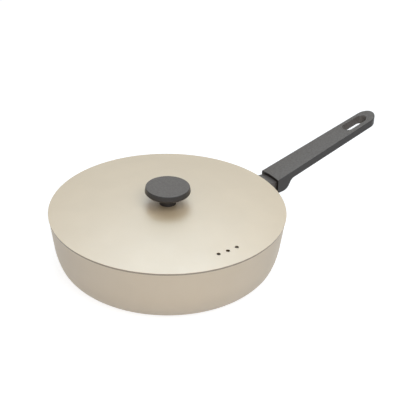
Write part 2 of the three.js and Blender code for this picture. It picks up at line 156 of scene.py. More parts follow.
def rounded(corners, steps=6):
    """A section through corners of (radius, height, rounding), with an arc at each rounded corner."""
    points = []
    for i, (x, y, rounding) in enumerate(corners):
        here = Vector((x, y))
        if rounding == 0:
            points.append((x, y))
            continue
        back = (Vector(corners[i - 1][:2]) - here).normalized()
        ahead = (Vector(corners[i + 1][:2]) - here).normalized()
        half = back.angle(ahead) / 2
        centre = here + (back + ahead).normalized() * rounding / math.sin(half)
        first = here + back * rounding / math.tan(half) - centre
        last = here + ahead * rounding / math.tan(half) - centre
        sweep = first.angle_signed(last)
        for j in range(steps + 1):
            turn = -sweep * j / steps
            cos, sin = math.cos(turn), math.sin(turn)
            spoke = Vector((first.x * cos - first.y * sin, first.x * sin + first.y * cos))
            points.append(tuple(centre + spoke))
    return points


trial = rounded([(0, 0, 0), (2, 0, 1), (2, 2, 0)], steps=2)
print("a rounded corner:", [tuple(round(c, 2) for c in point) for point in trial])


# %% [markdown]
# Modifiers finish the pieces: a boolean cuts a hole, a bevel rounds edges. Each is applied at once, so that
# the mesh that is kept is the shape that is seen. A cutting tool is deleted after its cut.

# %% Apply modifiers and shade
def apply_modifier(piece, kind, **settings):
    """Adds a modifier to a piece and writes its result into the mesh."""
    select_only(piece)
    modifier = piece.modifiers.new(kind.title(), kind)
    for key, value in settings.items():
        setattr(modifier, key, value)
    bpy.ops.object.modifier_apply(modifier=modifier.name)


def cut(piece, tool, operation="DIFFERENCE"):
    """Cuts a piece with a tool, or keeps what they share, and deletes the tool."""
    apply_modifier(piece, "BOOLEAN", object=tool, operation=operation, solver="EXACT")
    bpy.data.objects.remove(tool)


def shade(piece, degrees=32):
    """Smooth shading that keeps sharp edges; a wide face outweighs the narrow rounding beside it."""
    select_only(piece)
    bpy.ops.object.shade_smooth_by_angle(angle=math.radians(degrees))
    apply_modifier(piece, "WEIGHTED_NORMAL", keep_sharp=True)


def finish_piece(piece, body, finish, slot, *nodes):
    """Shades a piece, gives it its material and the body it moves with, and hides the nodes it stands for."""
    shade(piece)
    piece.data.materials.clear()
    piece.data.materials.append(finish)
    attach(piece, body)
    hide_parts(*nodes)
    print(f"{piece.name}: {len(piece.data.polygons)} faces, rides on {body}, stands for {', '.join(nodes)}")


def refinish(piece, finish, chosen):
    """Gives another material to the faces that pass a test."""
    piece.data.materials.append(finish)
    faces = [face for face in piece.data.polygons if chosen(face)]
    for face in faces:
        face.material_index = len(piece.data.materials) - 1
    print(f"{piece.name}: {len(faces)} faces in {finish.name}")


# %% [markdown]
# ## Camera
# The photograph is taken from above the lid's near edge, about 30 degrees up, with a long lens that keeps
# the pan's rim close to a true ellipse. The camera stands 1.4 m from the pan and is very slightly rolled,
# which is why the level rim drops a little towards the right in the picture.

# %% Set up the camera
CAMERA_PLACE = Vector((-0.6931, -0.9932, 0.7778))
CAMERA_AIM = Vector((0.0392, -0.0286, 0.0756))
CAMERA_ROLL = math.radians(1.454)
CAMERA_LENS = 100.70
CAMERA_SENSOR = 36

clear_selection()
bpy.ops.object.camera_add(location=CAMERA_PLACE)
camera = bpy.context.object
look = (CAMERA_AIM - CAMERA_PLACE).to_track_quat("-Z", "Y")
camera.rotation_euler = (look @ Quaternion((0, 0, 1), CAMERA_ROLL)).to_euler()
camera.data.lens = CAMERA_LENS
camera.data.sensor_width = CAMERA_SENSOR
bpy.context.scene.camera = camera
print("camera at", tuple(round(c, 3) for c in camera.location))


# %% [markdown]
# ## Finishes
# Every finish is made from noise in the piece's own coordinates, so it stays put when the lid lifts. The
# class below starts a material and has a short way of setting its colour, its roughness and its relief.
# Colours are written as they look on a screen, from 0 to 255, and turned into the linear values that Blender
# uses.

# %% Start a material
PATCH_LOW, PATCH_HIGH = 0.35, 0.65
NOISE_LOW, NOISE_HIGH = 0.3, 0.7


def screen_colour(red, green, blue):
    """A linear colour from one that is written as it looks on a screen."""
    levels = [c / 255 for c in (red, green, blue)]
    linear = [c / 12.92 if c <= 0.04045 else ((c + 0.055) / 1.055) ** 2.4 for c in levels]
    return (*linear, 1)


class Finish:
    """A material with its main shader, and short ways of setting what varies over the surface."""

    def __init__(self, name, metallic=0.0, specular=0.5, ior=1.5):
        self.material = bpy.data.materials.new(name)
        self.material.use_nodes = True
        self.tree = self.material.node_tree
        self.shader = self.tree.nodes["Principled BSDF"]
        self.shader.inputs["Metallic"].default_value = metallic
        self.shader.inputs["Specular IOR Level"].default_value = specular
        self.shader.inputs["IOR"].default_value = ior
        self.place = self.tree.nodes.new("ShaderNodeTexCoord").outputs["Object"]
        self.under = None

    def join(self, output, node, socket):
        """Links an output to a socket of a node."""
        self.tree.links.new(output, node.inputs[socket])

    def noise(self, scale, detail):
        """Even noise in the piece's own coordinates."""
        node = self.tree.nodes.new("ShaderNodeTexNoise")
        node.inputs["Scale"].default_value = scale
        node.inputs["Detail"].default_value = detail
        self.join(self.place, node, "Vector")
        return node.outputs["Fac"]

    def colour(self, value, dark, light):
        """Shades the surface from dark to light, as a value rises."""
        node = self.tree.nodes.new("ShaderNodeValToRGB")
        node.color_ramp.elements[0].position = PATCH_LOW
        node.color_ramp.elements[1].position = PATCH_HIGH
        node.color_ramp.elements[0].color = dark
        node.color_ramp.elements[1].color = light
        self.join(value, node, "Fac")
        self.join(node.outputs["Color"], self.shader, "Base Color")

    def roughness(self, value, low, high):
        """Takes the roughness from low to high, as a value rises."""
        node = self.tree.nodes.new("ShaderNodeMapRange")
        node.inputs["From Min"].default_value = NOISE_LOW
        node.inputs["From Max"].default_value = NOISE_HIGH
        node.inputs["To Min"].default_value = low
        node.inputs["To Max"].default_value = high
        self.join(value, node, "Value")
        self.join(node.outputs["Result"], self.shader, "Roughness")

    def relief(self, value, distance, strength):
        """Lays a fine relief over any that is there already."""
        node = self.tree.nodes.new("ShaderNodeBump")
        node.inputs["Distance"].default_value = distance
        node.inputs["Strength"].default_value = strength
        self.join(value, node, "Height")
        if self.under:
            self.join(self.under, node, "Normal")
        self.under = node.outputs["Normal"]
        self.join(self.under, self.shader, "Normal")


print("screen grey 128 is linear", round(screen_colour(128, 128, 128)[0], 3))

# %% [markdown]
# The cream coat is sprayed and baked. Close up it has a faint orange peel and an almost even colour, with a
# few soft patches where the spray lies a little thicker. Its satin gloss blurs the lamps into a broad sheen.

# %% Cream coat
COAT_SHADE = screen_colour(198, 175, 138)
COAT_LIGHT = screen_colour(202, 179, 142)


def make_cream_coat():
    coat = Finish("cream_coat", specular=1.0, ior=2.06)
    coat.colour(coat.noise(scale=22, detail=3), COAT_SHADE, COAT_LIGHT)
    coat.roughness(coat.noise(scale=60, detail=3), low=0.44, high=0.48)
    coat.relief(coat.noise(scale=700, detail=1), distance=0.00015, strength=0.12)
    coat.relief(coat.noise(scale=3500, detail=1), distance=0.00005, strength=0.15)
    return coat.material


cream_coat = make_cream_coat()
print("made", cream_coat.name)

# %% [markdown]
# Handle and knob are pressed from a dark plastic that stands the heat of a hob. Where the mould was polished,
# on sides and edges, it is smooth and nearly black, and what shows is mostly gloss. The top faces and the
# wall of the slot come from a blasted part of the mould and have a fine grain. They also get a paler copy
# of the plastic, whose paler colour is painted light for the lamps that light these faces more.

# %% Moulded plastic
PLASTIC_SPREAD = 0.03


def make_plastic(name, dark, light, specular, rough, grain):
    plastic = Finish(name, specular=specular)
    plastic.colour(plastic.noise(scale=420, detail=4), dark, light)
    plastic.roughness(plastic.noise(scale=180, detail=3), rough - PLASTIC_SPREAD, rough + PLASTIC_SPREAD)
    plastic.relief(plastic.noise(scale=1600, detail=2), distance=0.00012, strength=grain)
    return plastic.material


smooth_plastic = make_plastic(
    "smooth_plastic",
    screen_colour(31, 26, 23),
    screen_colour(37, 32, 29),
    specular=0.5,
    rough=0.31,
    grain=0.2,
)
# A paler copy of the plastic: its lighter colour is painted light for the lit tops and slot wall.
lit_grained_plastic = make_plastic(
    "lit_grained_plastic",
    screen_colour(93, 87, 81),
    screen_colour(105, 99, 93),
    specular=0.3,
    rough=0.5,
    grain=0.4,
)
print("made", smooth_plastic.name, "and", lit_grained_plastic.name)

# %% [markdown]
# The flame guard is thin metal with a grey baked paint, a little smoother than the grained plastic.

# %% Guard paint
GUARD_DARK = screen_colour(76, 70, 66)
GUARD_LIGHT = screen_colour(84, 78, 74)


def make_guard_paint():
    paint = Finish("guard_paint", specular=0.4)
    paint.colour(paint.noise(scale=300, detail=3), GUARD_DARK, GUARD_LIGHT)
    paint.roughness(paint.noise(scale=240, detail=2), low=0.28, high=0.36)
    paint.relief(paint.noise(scale=1400, detail=1), distance=0.0001, strength=0.12)
    return paint.material


guard_paint = make_guard_paint()
print("made", guard_paint.name)

# %% [markdown]
# Screws, washers, stud and insert are bare metal, and so are the rim and the lid's edge, which are cut after
# the coating; their metal is kept dark grey, partly as painted shade for the seam between lid and pan. The
# vents' walls get a dark brown metal that is painted shade. One function makes them all: fine noise gives
# the surface its tooth, and coarser noise varies its colour and gloss.

# %% Bare metals
METAL_SPREAD = 0.06


def make_bare_metal(name, dark, light, rough, fine):
    metal = Finish(name, metallic=1.0)
    metal.colour(metal.noise(scale=250, detail=4), dark, light)
    metal.roughness(metal.noise(scale=500, detail=3), rough - METAL_SPREAD, rough + METAL_SPREAD)
    metal.relief(metal.noise(scale=fine, detail=2), distance=0.00004, strength=0.25)
    return metal.material


screw_steel = make_bare_metal(
    "screw_steel", screen_colour(176, 177, 178), screen_colour(196, 197, 199), rough=0.30, fine=2600
)
bare_aluminium = make_bare_metal(
    "bare_aluminium", screen_colour(190, 192, 194), screen_colour(208, 210, 212), rough=0.40, fine=1800
)
# Darker than bare aluminium: this grey is partly painted shade for the seam between lid and pan.
turned_edge_and_shade = make_bare_metal(
    "turned_edge_and_shade", screen_colour(145, 135, 122), screen_colour(153, 143, 130), rough=0.42, fine=2200
)
# Dark brown metal for the vents' walls: painted shade for the inside of the small holes.
vent_painted_shade = make_bare_metal(
    "vent_painted_shade", screen_colour(92, 75, 52), screen_colour(102, 85, 60), rough=0.5, fine=2200
)
insert_brass = make_bare_metal(
    "insert_brass", screen_colour(178, 150, 84), screen_colour(200, 172, 104), rough=0.32, fine=2400
)
for metal in (screw_steel, bare_aluminium, turned_edge_and_shade, vent_painted_shade, insert_brass):
    print("made", metal.name)

# %% [markdown]
# The plate in the base is turned on a lathe, so its gloss and its relief run in fine rings about the middle.

# %% Turned plate steel
PLATE_DARK = screen_colour(176, 176, 178)
PLATE_LIGHT = screen_colour(185, 186, 188)


def make_plate_steel():
    steel = Finish("plate_steel", metallic=1.0)
    steel.colour(steel.noise(scale=90, detail=4), PLATE_DARK, PLATE_LIGHT)
    rings = steel.tree.nodes.new("ShaderNodeTexWave")
    rings.wave_type = "RINGS"
    rings.rings_direction = "Z"
    rings.inputs["Scale"].default_value = 420
    rings.inputs["Distortion"].default_value = 0.6
    rings.inputs["Detail"].default_value = 2
    steel.join(steel.place, rings, "Vector")
    steel.roughness(rings.outputs["Fac"], low=0.28, high=0.40)
    steel.relief(rings.outputs["Fac"], distance=0.00003, strength=0.35)
    return steel.material


plate_steel = make_plate_steel()
print("made", plate_steel.name)

# %% [markdown]
# ## Pan body
# The pan is one drawn sheet: a flat base, a tight corner, a wide belly and a wall that leans outwards. Seen
# from the side the wall is two arcs and a straight line, each running smoothly into the next, so the section
# is worked out from their radii and leanings. The inside is the same curve, one wall thickness further in.
# The rim is turned flat after the coating, so a narrow band of bare metal runs round it. Its metal is dark
# grey, partly painted shade for the seam under the lid.

# %% Work out the wall
WALL = 0.0025
BASE_THICKNESS = 0.0045
WALL_DRAFT = 7.5
BELLY_ANGLE = 21
BELLY_RADIUS = 0.089
CORNER_RADIUS = 0.025
RIM_ROUND = 0.0005
RIM_BARE = 0.0014
ROUND_STEPS = 224


def wall_curve(rim_radius, floor, belly_radius, corner_radius):
    """One side of the wall, from the flat base up to where the straight stretch begins."""
    draft, belly = math.radians(WALL_DRAFT), math.radians(BELLY_ANGLE)
    belly_drop = belly_radius * (math.sin(belly) - math.sin(draft))
    corner_drop = corner_radius * (1 - math.sin(belly))
    straight = PAN_HEIGHT - floor - belly_drop - corner_drop
    belly_x = rim_radius - straight * math.tan(draft) - belly_radius * math.cos(draft)
    belly_y = PAN_HEIGHT - straight + belly_radius * math.sin(draft)
    corner_x = belly_x + (belly_radius - corner_radius) * math.cos(belly)
    corner = arc((corner_x, floor + corner_radius), corner_radius, -90, -BELLY_ANGLE, steps=16)
    return corner + arc((belly_x, belly_y), belly_radius, -BELLY_ANGLE, -WALL_DRAFT, steps=10)[1:]


INNER_RIM = RIM_RADIUS - WALL / math.cos(math.radians(WALL_DRAFT))
outer_wall = wall_curve(RIM_RADIUS, 0, BELLY_RADIUS, CORNER_RADIUS)
inner_wall = wall_curve(INNER_RIM, BASE_THICKNESS, BELLY_RADIUS - WALL, CORNER_RADIUS - WALL)
print(f"flat base {outer_wall[0][0]:.4f} m in radius, inner rim {INNER_RIM:.4f} m")

# %% Spin the pan
plate_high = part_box("induction_plate")[1]
PLATE_GAP = 0.0003
RECESS_ROUND = 0.0003
RECESS = plate_high.x + PLATE_GAP


def make_pan_body():
    band_drop = RIM_BARE * math.tan(math.radians(WALL_DRAFT))
    rim = rounded(
        [
            (*outer_wall[-1], 0),
            (RIM_RADIUS - band_drop, PAN_HEIGHT - RIM_BARE, 0),
            (RIM_RADIUS, PAN_HEIGHT, RIM_ROUND),
            (INNER_RIM, PAN_HEIGHT, RIM_ROUND),
            (INNER_RIM - band_drop, PAN_HEIGHT - RIM_BARE, 0),
            (*inner_wall[-1], 0),
        ]
    )
    roof = plate_high.z
    recess = rounded(
        [(0, roof, 0), (RECESS, roof, 0), (RECESS, 0, RECESS_ROUND), (*outer_wall[0], 0)], steps=3
    )
    section = recess[:-1] + outer_wall[:-1] + rim + inner_wall[-2::-1] + [(0, BASE_THICKNESS)]
    return spin_section("pan_shell", section, ROUND_STEPS)


pan_shell = make_pan_body()
finish_piece(pan_shell, "pan", cream_coat, "beige_coat", "pan_body")
# The rim's band is dark grey metal, partly painted shade for the seam under the lid.
refinish(pan_shell, turned_edge_and_shade, lambda face: face.center.z > PAN_HEIGHT - RIM_BARE)

# %% [markdown]
# ## Plate in the base
# A steel disc is let into the base so that the pan also works on an induction hob. It is guessed, as the
# photograph doesn't show the underside. Such discs have pressed rings, so its section is a row of shallow
# grooves.

# %% Spin the plate
RING_PITCH = 0.008
RING_WIDTH = 0.0016
RING_DEPTH = 0.00025
RING_FLAT = 0.4
PLATE_MARGIN = 0.002
PLATE_ROUND = 0.0003


def make_base_plate():
    radius, top = plate_high.x, plate_high.z
    section = [(0, 0)]
    for i in range(1, int(radius / RING_PITCH)):
        middle = i * RING_PITCH
        for side, depth in ((-1, 0), (-RING_FLAT, RING_DEPTH), (RING_FLAT, RING_DEPTH), (1, 0)):
            section.append((middle + side * RING_WIDTH / 2, depth))
    edge = rounded(
        [(radius - PLATE_MARGIN, 0, 0), (radius, 0, PLATE_ROUND), (radius, top, 0), (0, top, 0)], steps=3
    )
    return spin_section("base_plate", section + edge, ROUND_STEPS)


base_plate = make_base_plate()
finish_piece(base_plate, "pan", plate_steel, "plate_steel", "induction_plate")

# %% [markdown]
# ## Lid
# The lid is a shallow dome whose edge lies flush on the rim. The edge is slightly undercut and, like the rim,
# turned bare after the coating: together they draw the grey line between lid and pan, and the dark grey of
# their metal is partly painted shade for the seam. A skirt underneath keeps the lid centred. It is spun like
# the pan.

# %% Work out the lid's section
LID_EDGE = 0.0015
LID_RISE = 0.008
LID_WALL = 0.002
LID_UNDERCUT = 0.0009
PAD_RADIUS = 0.012
SKIRT_WALL = 0.002
SKIRT_GAP = 0.0009
SCREW_HOLE = 0.0029
LID_APEX = PAN_HEIGHT + LID_EDGE + LID_RISE
skirt_depth = PAN_HEIGHT - lid_low.z
skirt_outer = INNER_RIM - skirt_depth * math.tan(math.radians(WALL_DRAFT)) - SKIRT_GAP
skirt_inner = skirt_outer - SKIRT_WALL


def dome(start, end, depth, steps=24):
    """The dome from one radius to another, at a depth below its top."""
    radii = [start + (end - start) * i / steps for i in range(steps + 1)]
    return [(r, LID_APEX - LID_RISE * (r / LID_RADIUS) ** 2 - depth) for r in radii]


print(f"lid apex {LID_APEX:.4f} m, skirt {skirt_inner:.4f} to {skirt_outer:.4f} m")

# %% Spin the lid
EDGE_ROUND = 0.00025
UNDERCUT_ROUND = 0.0002
SKIRT_ROUND = 0.0008
SKIRT_FILLET = 0.0015


def make_lid_shell():
    under = dome(PAD_RADIUS, skirt_inner, LID_WALL)
    top = dome(LID_RADIUS, PAD_RADIUS, 0)
    edge = rounded(
        [
            (*under[-2], 0),
            (*under[-1], SKIRT_FILLET),
            (skirt_inner, lid_low.z, SKIRT_ROUND),
            (skirt_outer, lid_low.z, SKIRT_ROUND),
            (skirt_outer, PAN_HEIGHT, SKIRT_ROUND),
            (LID_RADIUS - LID_UNDERCUT, PAN_HEIGHT, UNDERCUT_ROUND),
            (LID_RADIUS, PAN_HEIGHT + LID_UNDERCUT, UNDERCUT_ROUND),
            (*top[0], EDGE_ROUND),
            (*top[1], 0),
        ],
        steps=4,
    )
    hole = [(SCREW_HOLE, PAD_TOP), (SCREW_HOLE, under[0][1])]
    section = [hole[1], *under[:-2], *edge, *top[2:], *hole]
    return spin_section("lid_dome", section, ROUND_STEPS)


lid_dome = make_lid_shell()
print("lid spun:", len(lid_dome.data.polygons), "faces")

# %% [markdown]
# Three steam vents are drilled near the edge, in a row that follows it. Each is cut with a tool that flares
# at the top, which leaves a soft lip. Their walls get a dark brown metal, which is painted shade for the
# dark inside of the small holes.

# %% Cut the vents
VENT_RADIUS = 0.0022
VENT_LIP = 0.0004
VENT_INSET = 0.023
VENT_PITCH = 0.013
VENT_COUNT = 3
VENT_BEARING = math.radians(-90)
DRILL_BELOW = 0.01
DRILL_ABOVE = 0.003
VENT_CIRCLE = LID_RADIUS - VENT_INSET


def vent_tool(bearing):
    """A flared drill that stands at the lid's surface."""
    level = LID_APEX - LID_RISE * (VENT_CIRCLE / LID_RADIUS) ** 2
    lip = arc((VENT_RADIUS + VENT_LIP, level - VENT_LIP), VENT_LIP, 180, 100, steps=4)
    low, high, wide = level - DRILL_BELOW, level + DRILL_ABOVE, lip[-1][0] + VENT_LIP
    section = [(0, low), (VENT_RADIUS, low), *lip, (wide, high), (0, high)]
    tool = spin_section("vent_tool", section, steps=40)
    tool.location = (VENT_CIRCLE * math.cos(bearing), VENT_CIRCLE * math.sin(bearing), 0)
    bpy.ops.object.transform_apply(location=True)
    return tool


for i in range(VENT_COUNT):
    cut(lid_dome, vent_tool(VENT_BEARING + (i - (VENT_COUNT - 1) / 2) * VENT_PITCH / VENT_CIRCLE))
finish_piece(lid_dome, "lid", cream_coat, "beige_coat", "lid_shell")

# %% Leave the edge bare, and paint shade into the vents
BARE_TOP = PAN_HEIGHT + LID_EDGE - EDGE_ROUND
BARE_BAND = 0.0015
VENT_STEEP = 0.5


def on_edge(face):
    """Whether a face belongs to the turned edge."""
    return face.center.xy.length > LID_RADIUS - BARE_BAND and face.center.z < BARE_TOP


def in_vent(face):
    """Whether a face belongs to the wall of a vent."""
    near = abs(face.center.xy.length - VENT_CIRCLE) < 2 * VENT_RADIUS
    return near and abs(face.normal.z) < VENT_STEEP


# The lid's edge too: dark grey metal, partly painted shade for the seam.
refinish(lid_dome, turned_edge_and_shade, on_edge)
# The vents' walls get painted shade.
refinish(lid_dome, vent_painted_shade, in_vent)

# %% [markdown]
# ## Knob
# The knob is a thick disc on a short stem, all one moulding. Its side is widest near the bottom and slants in
# almost straight to a crisp top edge, so the section is a few corners with a rounding of its own at each. The
# widest corner is drawn a little outside, so that its rounding just reaches the knob's radius.

# %% Spin the knob
STEM_RADIUS = 0.0102
STEM_HEIGHT = 0.0143
STEM_FILLET = 0.002
KNOB_TOP_INSET = 0.0009
KNOB_TOP_ROUND = 0.0007
KNOB_UNDER_INSET = 0.0013
KNOB_UNDER_RISE = 0.0020
KNOB_SIDE_ROUND = 0.0018
KNOB_CORNER_REACH = KNOB_SIDE_ROUND / 6
INSERT_GAP = 0.0001
insert_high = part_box("knob_insert")[1]
INSERT_HOLE = insert_high.x + INSERT_GAP


def make_knob():
    underside = PAD_TOP + STEM_HEIGHT
    outside = rounded(
        [
            (STEM_RADIUS, PAD_TOP, 0),
            (STEM_RADIUS, underside, STEM_FILLET),
            (KNOB_RADIUS - KNOB_UNDER_INSET, underside, KNOB_TOP_ROUND),
            (KNOB_RADIUS + KNOB_CORNER_REACH, underside + KNOB_UNDER_RISE, KNOB_SIDE_ROUND),
            (KNOB_RADIUS - KNOB_TOP_INSET, KNOB_TOP, KNOB_TOP_ROUND),
            (0, KNOB_TOP, 0),
        ],
        steps=8,
    )
    bore = [(0, insert_high.z), (INSERT_HOLE, insert_high.z), (INSERT_HOLE, PAD_TOP)]
    return spin_section("knob_disc", [bore[-1], *outside, *bore], steps=128)


knob_disc = make_knob()
finish_piece(knob_disc, "lid", smooth_plastic, "dark_phenolic", "knob")
# The knob's top gets the paler copy, which is painted light from the lamp above.
refinish(knob_disc, lit_grained_plastic, lambda face: face.center.z > KNOB_TOP - MERGE)

# %% [markdown]
# ## Screws and washers
# Both screws are of one kind: a rounded head with a six-sided socket, and a plain shank. One comes up through
# the lid into the knob, the other goes through the handle into the stud on the wall. Each is spun upright
# with its head below, and the handle's is then turned on its side.

# %% Spin a screw
SCREW_RADIUS = 0.0025
HEAD_RADIUS = 0.0046
HEAD_HEIGHT = 0.003
HEAD_ROUND = 0.0002
DRIVE_WIDTH = 0.004
DRIVE_DEPTH = 0.0018


def make_screw(name, length):
    """A screw with the underside of its head at zero and its tip upwards."""
    section = rounded(
        [
            (0, -HEAD_HEIGHT, 0),
            (HEAD_RADIUS, -HEAD_HEIGHT, HEAD_HEIGHT / 2),
            (HEAD_RADIUS, 0, HEAD_ROUND),
            (SCREW_RADIUS, 0, 0),
            (SCREW_RADIUS, length, SCREW_RADIUS / 3),
            (0, length, 0),
        ]
    )
    screw = spin_section(name, section, steps=48)
    clear_selection()
    bpy.ops.mesh.primitive_cylinder_add(
        vertices=6, radius=DRIVE_WIDTH / math.sqrt(3), depth=2 * DRIVE_DEPTH, location=(0, 0, -HEAD_HEIGHT)
    )
    cut(screw, bpy.context.object)
    return screw


def move_and_apply(piece, place, turn=(0, 0, 0)):
    """Puts a piece in its place and writes that place into its mesh."""
    select_only(piece)
    piece.rotation_euler = turn
    piece.location = place
    bpy.ops.object.transform_apply(location=True, rotation=True, scale=True)


# %% Place both screws and the washer
knob_screw_low, knob_screw_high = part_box("knob_screw")
handle_screw_low, handle_screw_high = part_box("handle_screw")
washer_low, washer_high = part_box("knob_washer")
SCREW_LEVEL = (handle_screw_low.z + handle_screw_high.z) / 2
WASHER_SHIM = 0.00004
WASHER_ROUND = 0.0003

lid_screw = make_screw("lid_screw", knob_screw_high.z - knob_screw_low.z - HEAD_HEIGHT)
move_and_apply(lid_screw, (0, 0, knob_screw_low.z + HEAD_HEIGHT))
finish_piece(lid_screw, "lid", screw_steel, "screw_steel", "knob_screw")

grip_screw = make_screw("grip_screw", handle_screw_high.x - handle_screw_low.x - HEAD_HEIGHT)
move_and_apply(grip_screw, (handle_screw_high.x - HEAD_HEIGHT, 0, SCREW_LEVEL), (0, -math.pi / 2, 0))
finish_piece(grip_screw, "pan", screw_steel, "screw_steel", "handle_screw")

washer_foot, washer_roof = washer_low.z + WASHER_SHIM, washer_high.z - WASHER_SHIM
washer_section = rounded(
    [
        (SCREW_HOLE, washer_foot, 0),
        (washer_high.x, washer_foot, WASHER_ROUND),
        (washer_high.x, washer_roof, WASHER_ROUND),
        (SCREW_HOLE, washer_roof, 0),
        (SCREW_HOLE, washer_foot, 0),
    ],
    steps=3,
)
lid_washer = spin_section("lid_washer_ring", washer_section, steps=64)
finish_piece(lid_washer, "lid_washer", screw_steel, "screw_steel", "knob_washer")

# %% [markdown]
# ## Handle
# The handle is a slim bar that rises away from the pan. From above it tapers to a round end with a slot to
# hang it by, and its walls are upright. From the side its underside swings down into a deep finger guard at
# the front. The simplest way to get both outlines exactly is to pull each one out into a solid and keep only
# what they share.

# %% Pull out the outline from above
HANDLE_TILT = math.radians(14.2)
HANDLE_THICKNESS = 0.0094
FRONT_HALF = handle_high.y
END_RADIUS = 0.0136
OVERRUN = 0.005
END_CENTRE = HANDLE_TIP - END_RADIUS
HANDLE_TOP = handle_high.z - (HANDLE_TIP - HANDLE_FRONT) * math.tan(HANDLE_TILT)
TAPER = (FRONT_HALF - END_RADIUS) / (END_CENTRE - HANDLE_FRONT)


def half_width(x):
    """Half the handle's width at a place along it, before its end rounds off."""
    return FRONT_HALF - TAPER * (x - HANDLE_FRONT)


def pull_out(way):
    """Fills the line that is being edited and pulls the face out into a solid."""
    bpy.ops.mesh.remove_doubles(threshold=MERGE)
    bpy.ops.mesh.select_all(action="SELECT")
    bpy.ops.mesh.edge_face_add()
    bpy.ops.mesh.extrude_region_move(TRANSFORM_OT_translate={"value": way})
    close_up()
    bpy.ops.object.mode_set(mode="OBJECT")


def make_handle_plan():
    front = HANDLE_FRONT - OVERRUN
    end = [(x, y, 0) for x, y in arc((END_CENTRE, 0), END_RADIUS, -90, 90, steps=48)]
    left, right = (front, half_width(front), 0), (front, -half_width(front), 0)
    line = [left, right, *end, left]
    plan = draw_line("grip", line)
    pull_out((0, 0, handle_high.z + OVERRUN))
    return plan


grip = make_handle_plan()
print(f"handle plan: {2 * FRONT_HALF:.4f} m wide at the front, {2 * END_RADIUS:.4f} m at the end")

# %% [markdown]
# The side view has a straight top and a straight slim underside. An S-shaped curve runs from the heel of the
# finger guard up to the throat, where the underside begins. It is drawn from its two ends and two pulls, as
# with the handles of a curve tool.

# %% Keep what the side view shares
HEEL_RUN = 0.0074
HEEL_RISE = 0.0003
THROAT_PLACE = 0.0255
HEEL_PULL = 0.0144
THROAT_PULL = 0.0097
along = Vector((math.cos(HANDLE_TILT), math.sin(HANDLE_TILT)))
down = Vector((along.y, -along.x))


def on_handle(distance, depth):
    """A point of the side view, at a distance along the top and a depth below it."""
    return Vector((HANDLE_FRONT, HANDLE_TOP)) + along * distance + down * depth


def s_curve(start, pull_a, pull_b, end, steps=28):
    """Points of a curve between two ends, each with the point that pulls on it."""
    spots = [i / steps for i in range(steps + 1)]
    return [
        start * (1 - t) ** 3 + pull_a * 3 * t * (1 - t) ** 2 + pull_b * 3 * t**2 * (1 - t) + end * t**3
        for t in spots
    ]


def make_handle_side():
    length = (HANDLE_TIP - HANDLE_FRONT) / along.x + OVERRUN
    foot = Vector((HANDLE_FRONT, handle_low.z))
    heel = foot + Vector((HEEL_RUN, HEEL_RISE))
    throat = on_handle(THROAT_PLACE, HANDLE_THICKNESS)
    heel_pull = heel + (heel - foot).normalized() * HEEL_PULL
    swing = s_curve(heel, heel_pull, throat - along * THROAT_PULL, throat)
    outline = [foot, *swing, on_handle(length, HANDLE_THICKNESS), on_handle(length, 0), on_handle(0, 0), foot]
    side = draw_line("side_tool", [(p.x, -2 * FRONT_HALF, p.y) for p in outline])
    pull_out((0, 4 * FRONT_HALF, 0))
    return side


cut(grip, make_handle_side(), "INTERSECT")
print("handle bar:", len(grip.data.polygons), "faces")

# %% [markdown]
# The slot narrows on its way down, as the pin of the mould has to come out, and most of all at its ends. A
# cut along the middle first splits the top into two halves, so that the slot leaves no face with a hole.

# %% Cut the slot
SLOT_HALF = 0.0075
SLOT_LENGTH = 0.037
SLOT_MARGIN = 0.0126
SLOT_SIDE_INSET = 0.0013
SLOT_END_INSET = 0.003
SLOT_FAR = HANDLE_TIP - SLOT_MARGIN - SLOT_HALF
SLOT_NEAR = SLOT_FAR - SLOT_LENGTH + 2 * SLOT_HALF


def top_height(x):
    """The level of the handle's straight top at a place along it."""
    return HANDLE_TOP + (x - HANDLE_FRONT) * math.tan(HANDLE_TILT)


def split(piece, place, normal):
    """Adds a line of edges where a plane passes through a piece."""
    select_only(piece)
    bpy.ops.object.mode_set(mode="EDIT")
    bpy.ops.mesh.select_all(action="SELECT")
    bpy.ops.mesh.bisect(plane_co=place, plane_no=normal)
    bpy.ops.object.mode_set(mode="OBJECT")


def make_slot_tool():
    """A plug along the tilted top, drawn above it, pulled down through the bar and narrowed at its foot."""
    far_end = arc((SLOT_FAR, 0), SLOT_HALF, -90, 90, steps=32)
    near_end = arc((SLOT_NEAR, 0), SLOT_HALF, 90, 270, steps=32)
    spare = HANDLE_THICKNESS / 8
    line = [(x, y, top_height(x) + spare) for x, y in far_end + near_end]
    tool = draw_line("slot_tool", [*line, line[0]])
    pull_out((0, 0, -HANDLE_THICKNESS - 3 * spare))
    foot = 1 - SLOT_SIDE_INSET / SLOT_HALF
    for vertex in tool.data.vertices:
        x, y, z = vertex.co
        if z < top_height(x):
            far = x > (SLOT_FAR + SLOT_NEAR) / 2
            middle = SLOT_FAR if far else SLOT_NEAR
            pull = (SLOT_SIDE_INSET - SLOT_END_INSET) * (1 if far else -1)
            vertex.co.x = middle + pull + (x - middle) * foot
            vertex.co.y = y * foot
    return tool


split(grip, (0, 0, 0), (0, 1, 0))
cut(grip, make_slot_tool())
print("handle with slot:", len(grip.data.polygons), "faces")

# %% [markdown]
# A moulding has no sharp edges. The edges that meet at an angle are rounded in one bevel, so that the corners
# where three of them meet come out clean. Each edge's bevel weight sets its share of the rounding: most along
# the top, less underneath, and least at the front.

# %% Round the edges
EDGE_ROUNDING = 0.0007
SHARP_ANGLE = math.radians(40)
SLOT_REACH = 1.01 * SLOT_HALF
TOP_SHARE, UNDER_SHARE, FRONT_SHARE, SLOT_SHARE = 1.0, 0.6, 0.5, 1.0


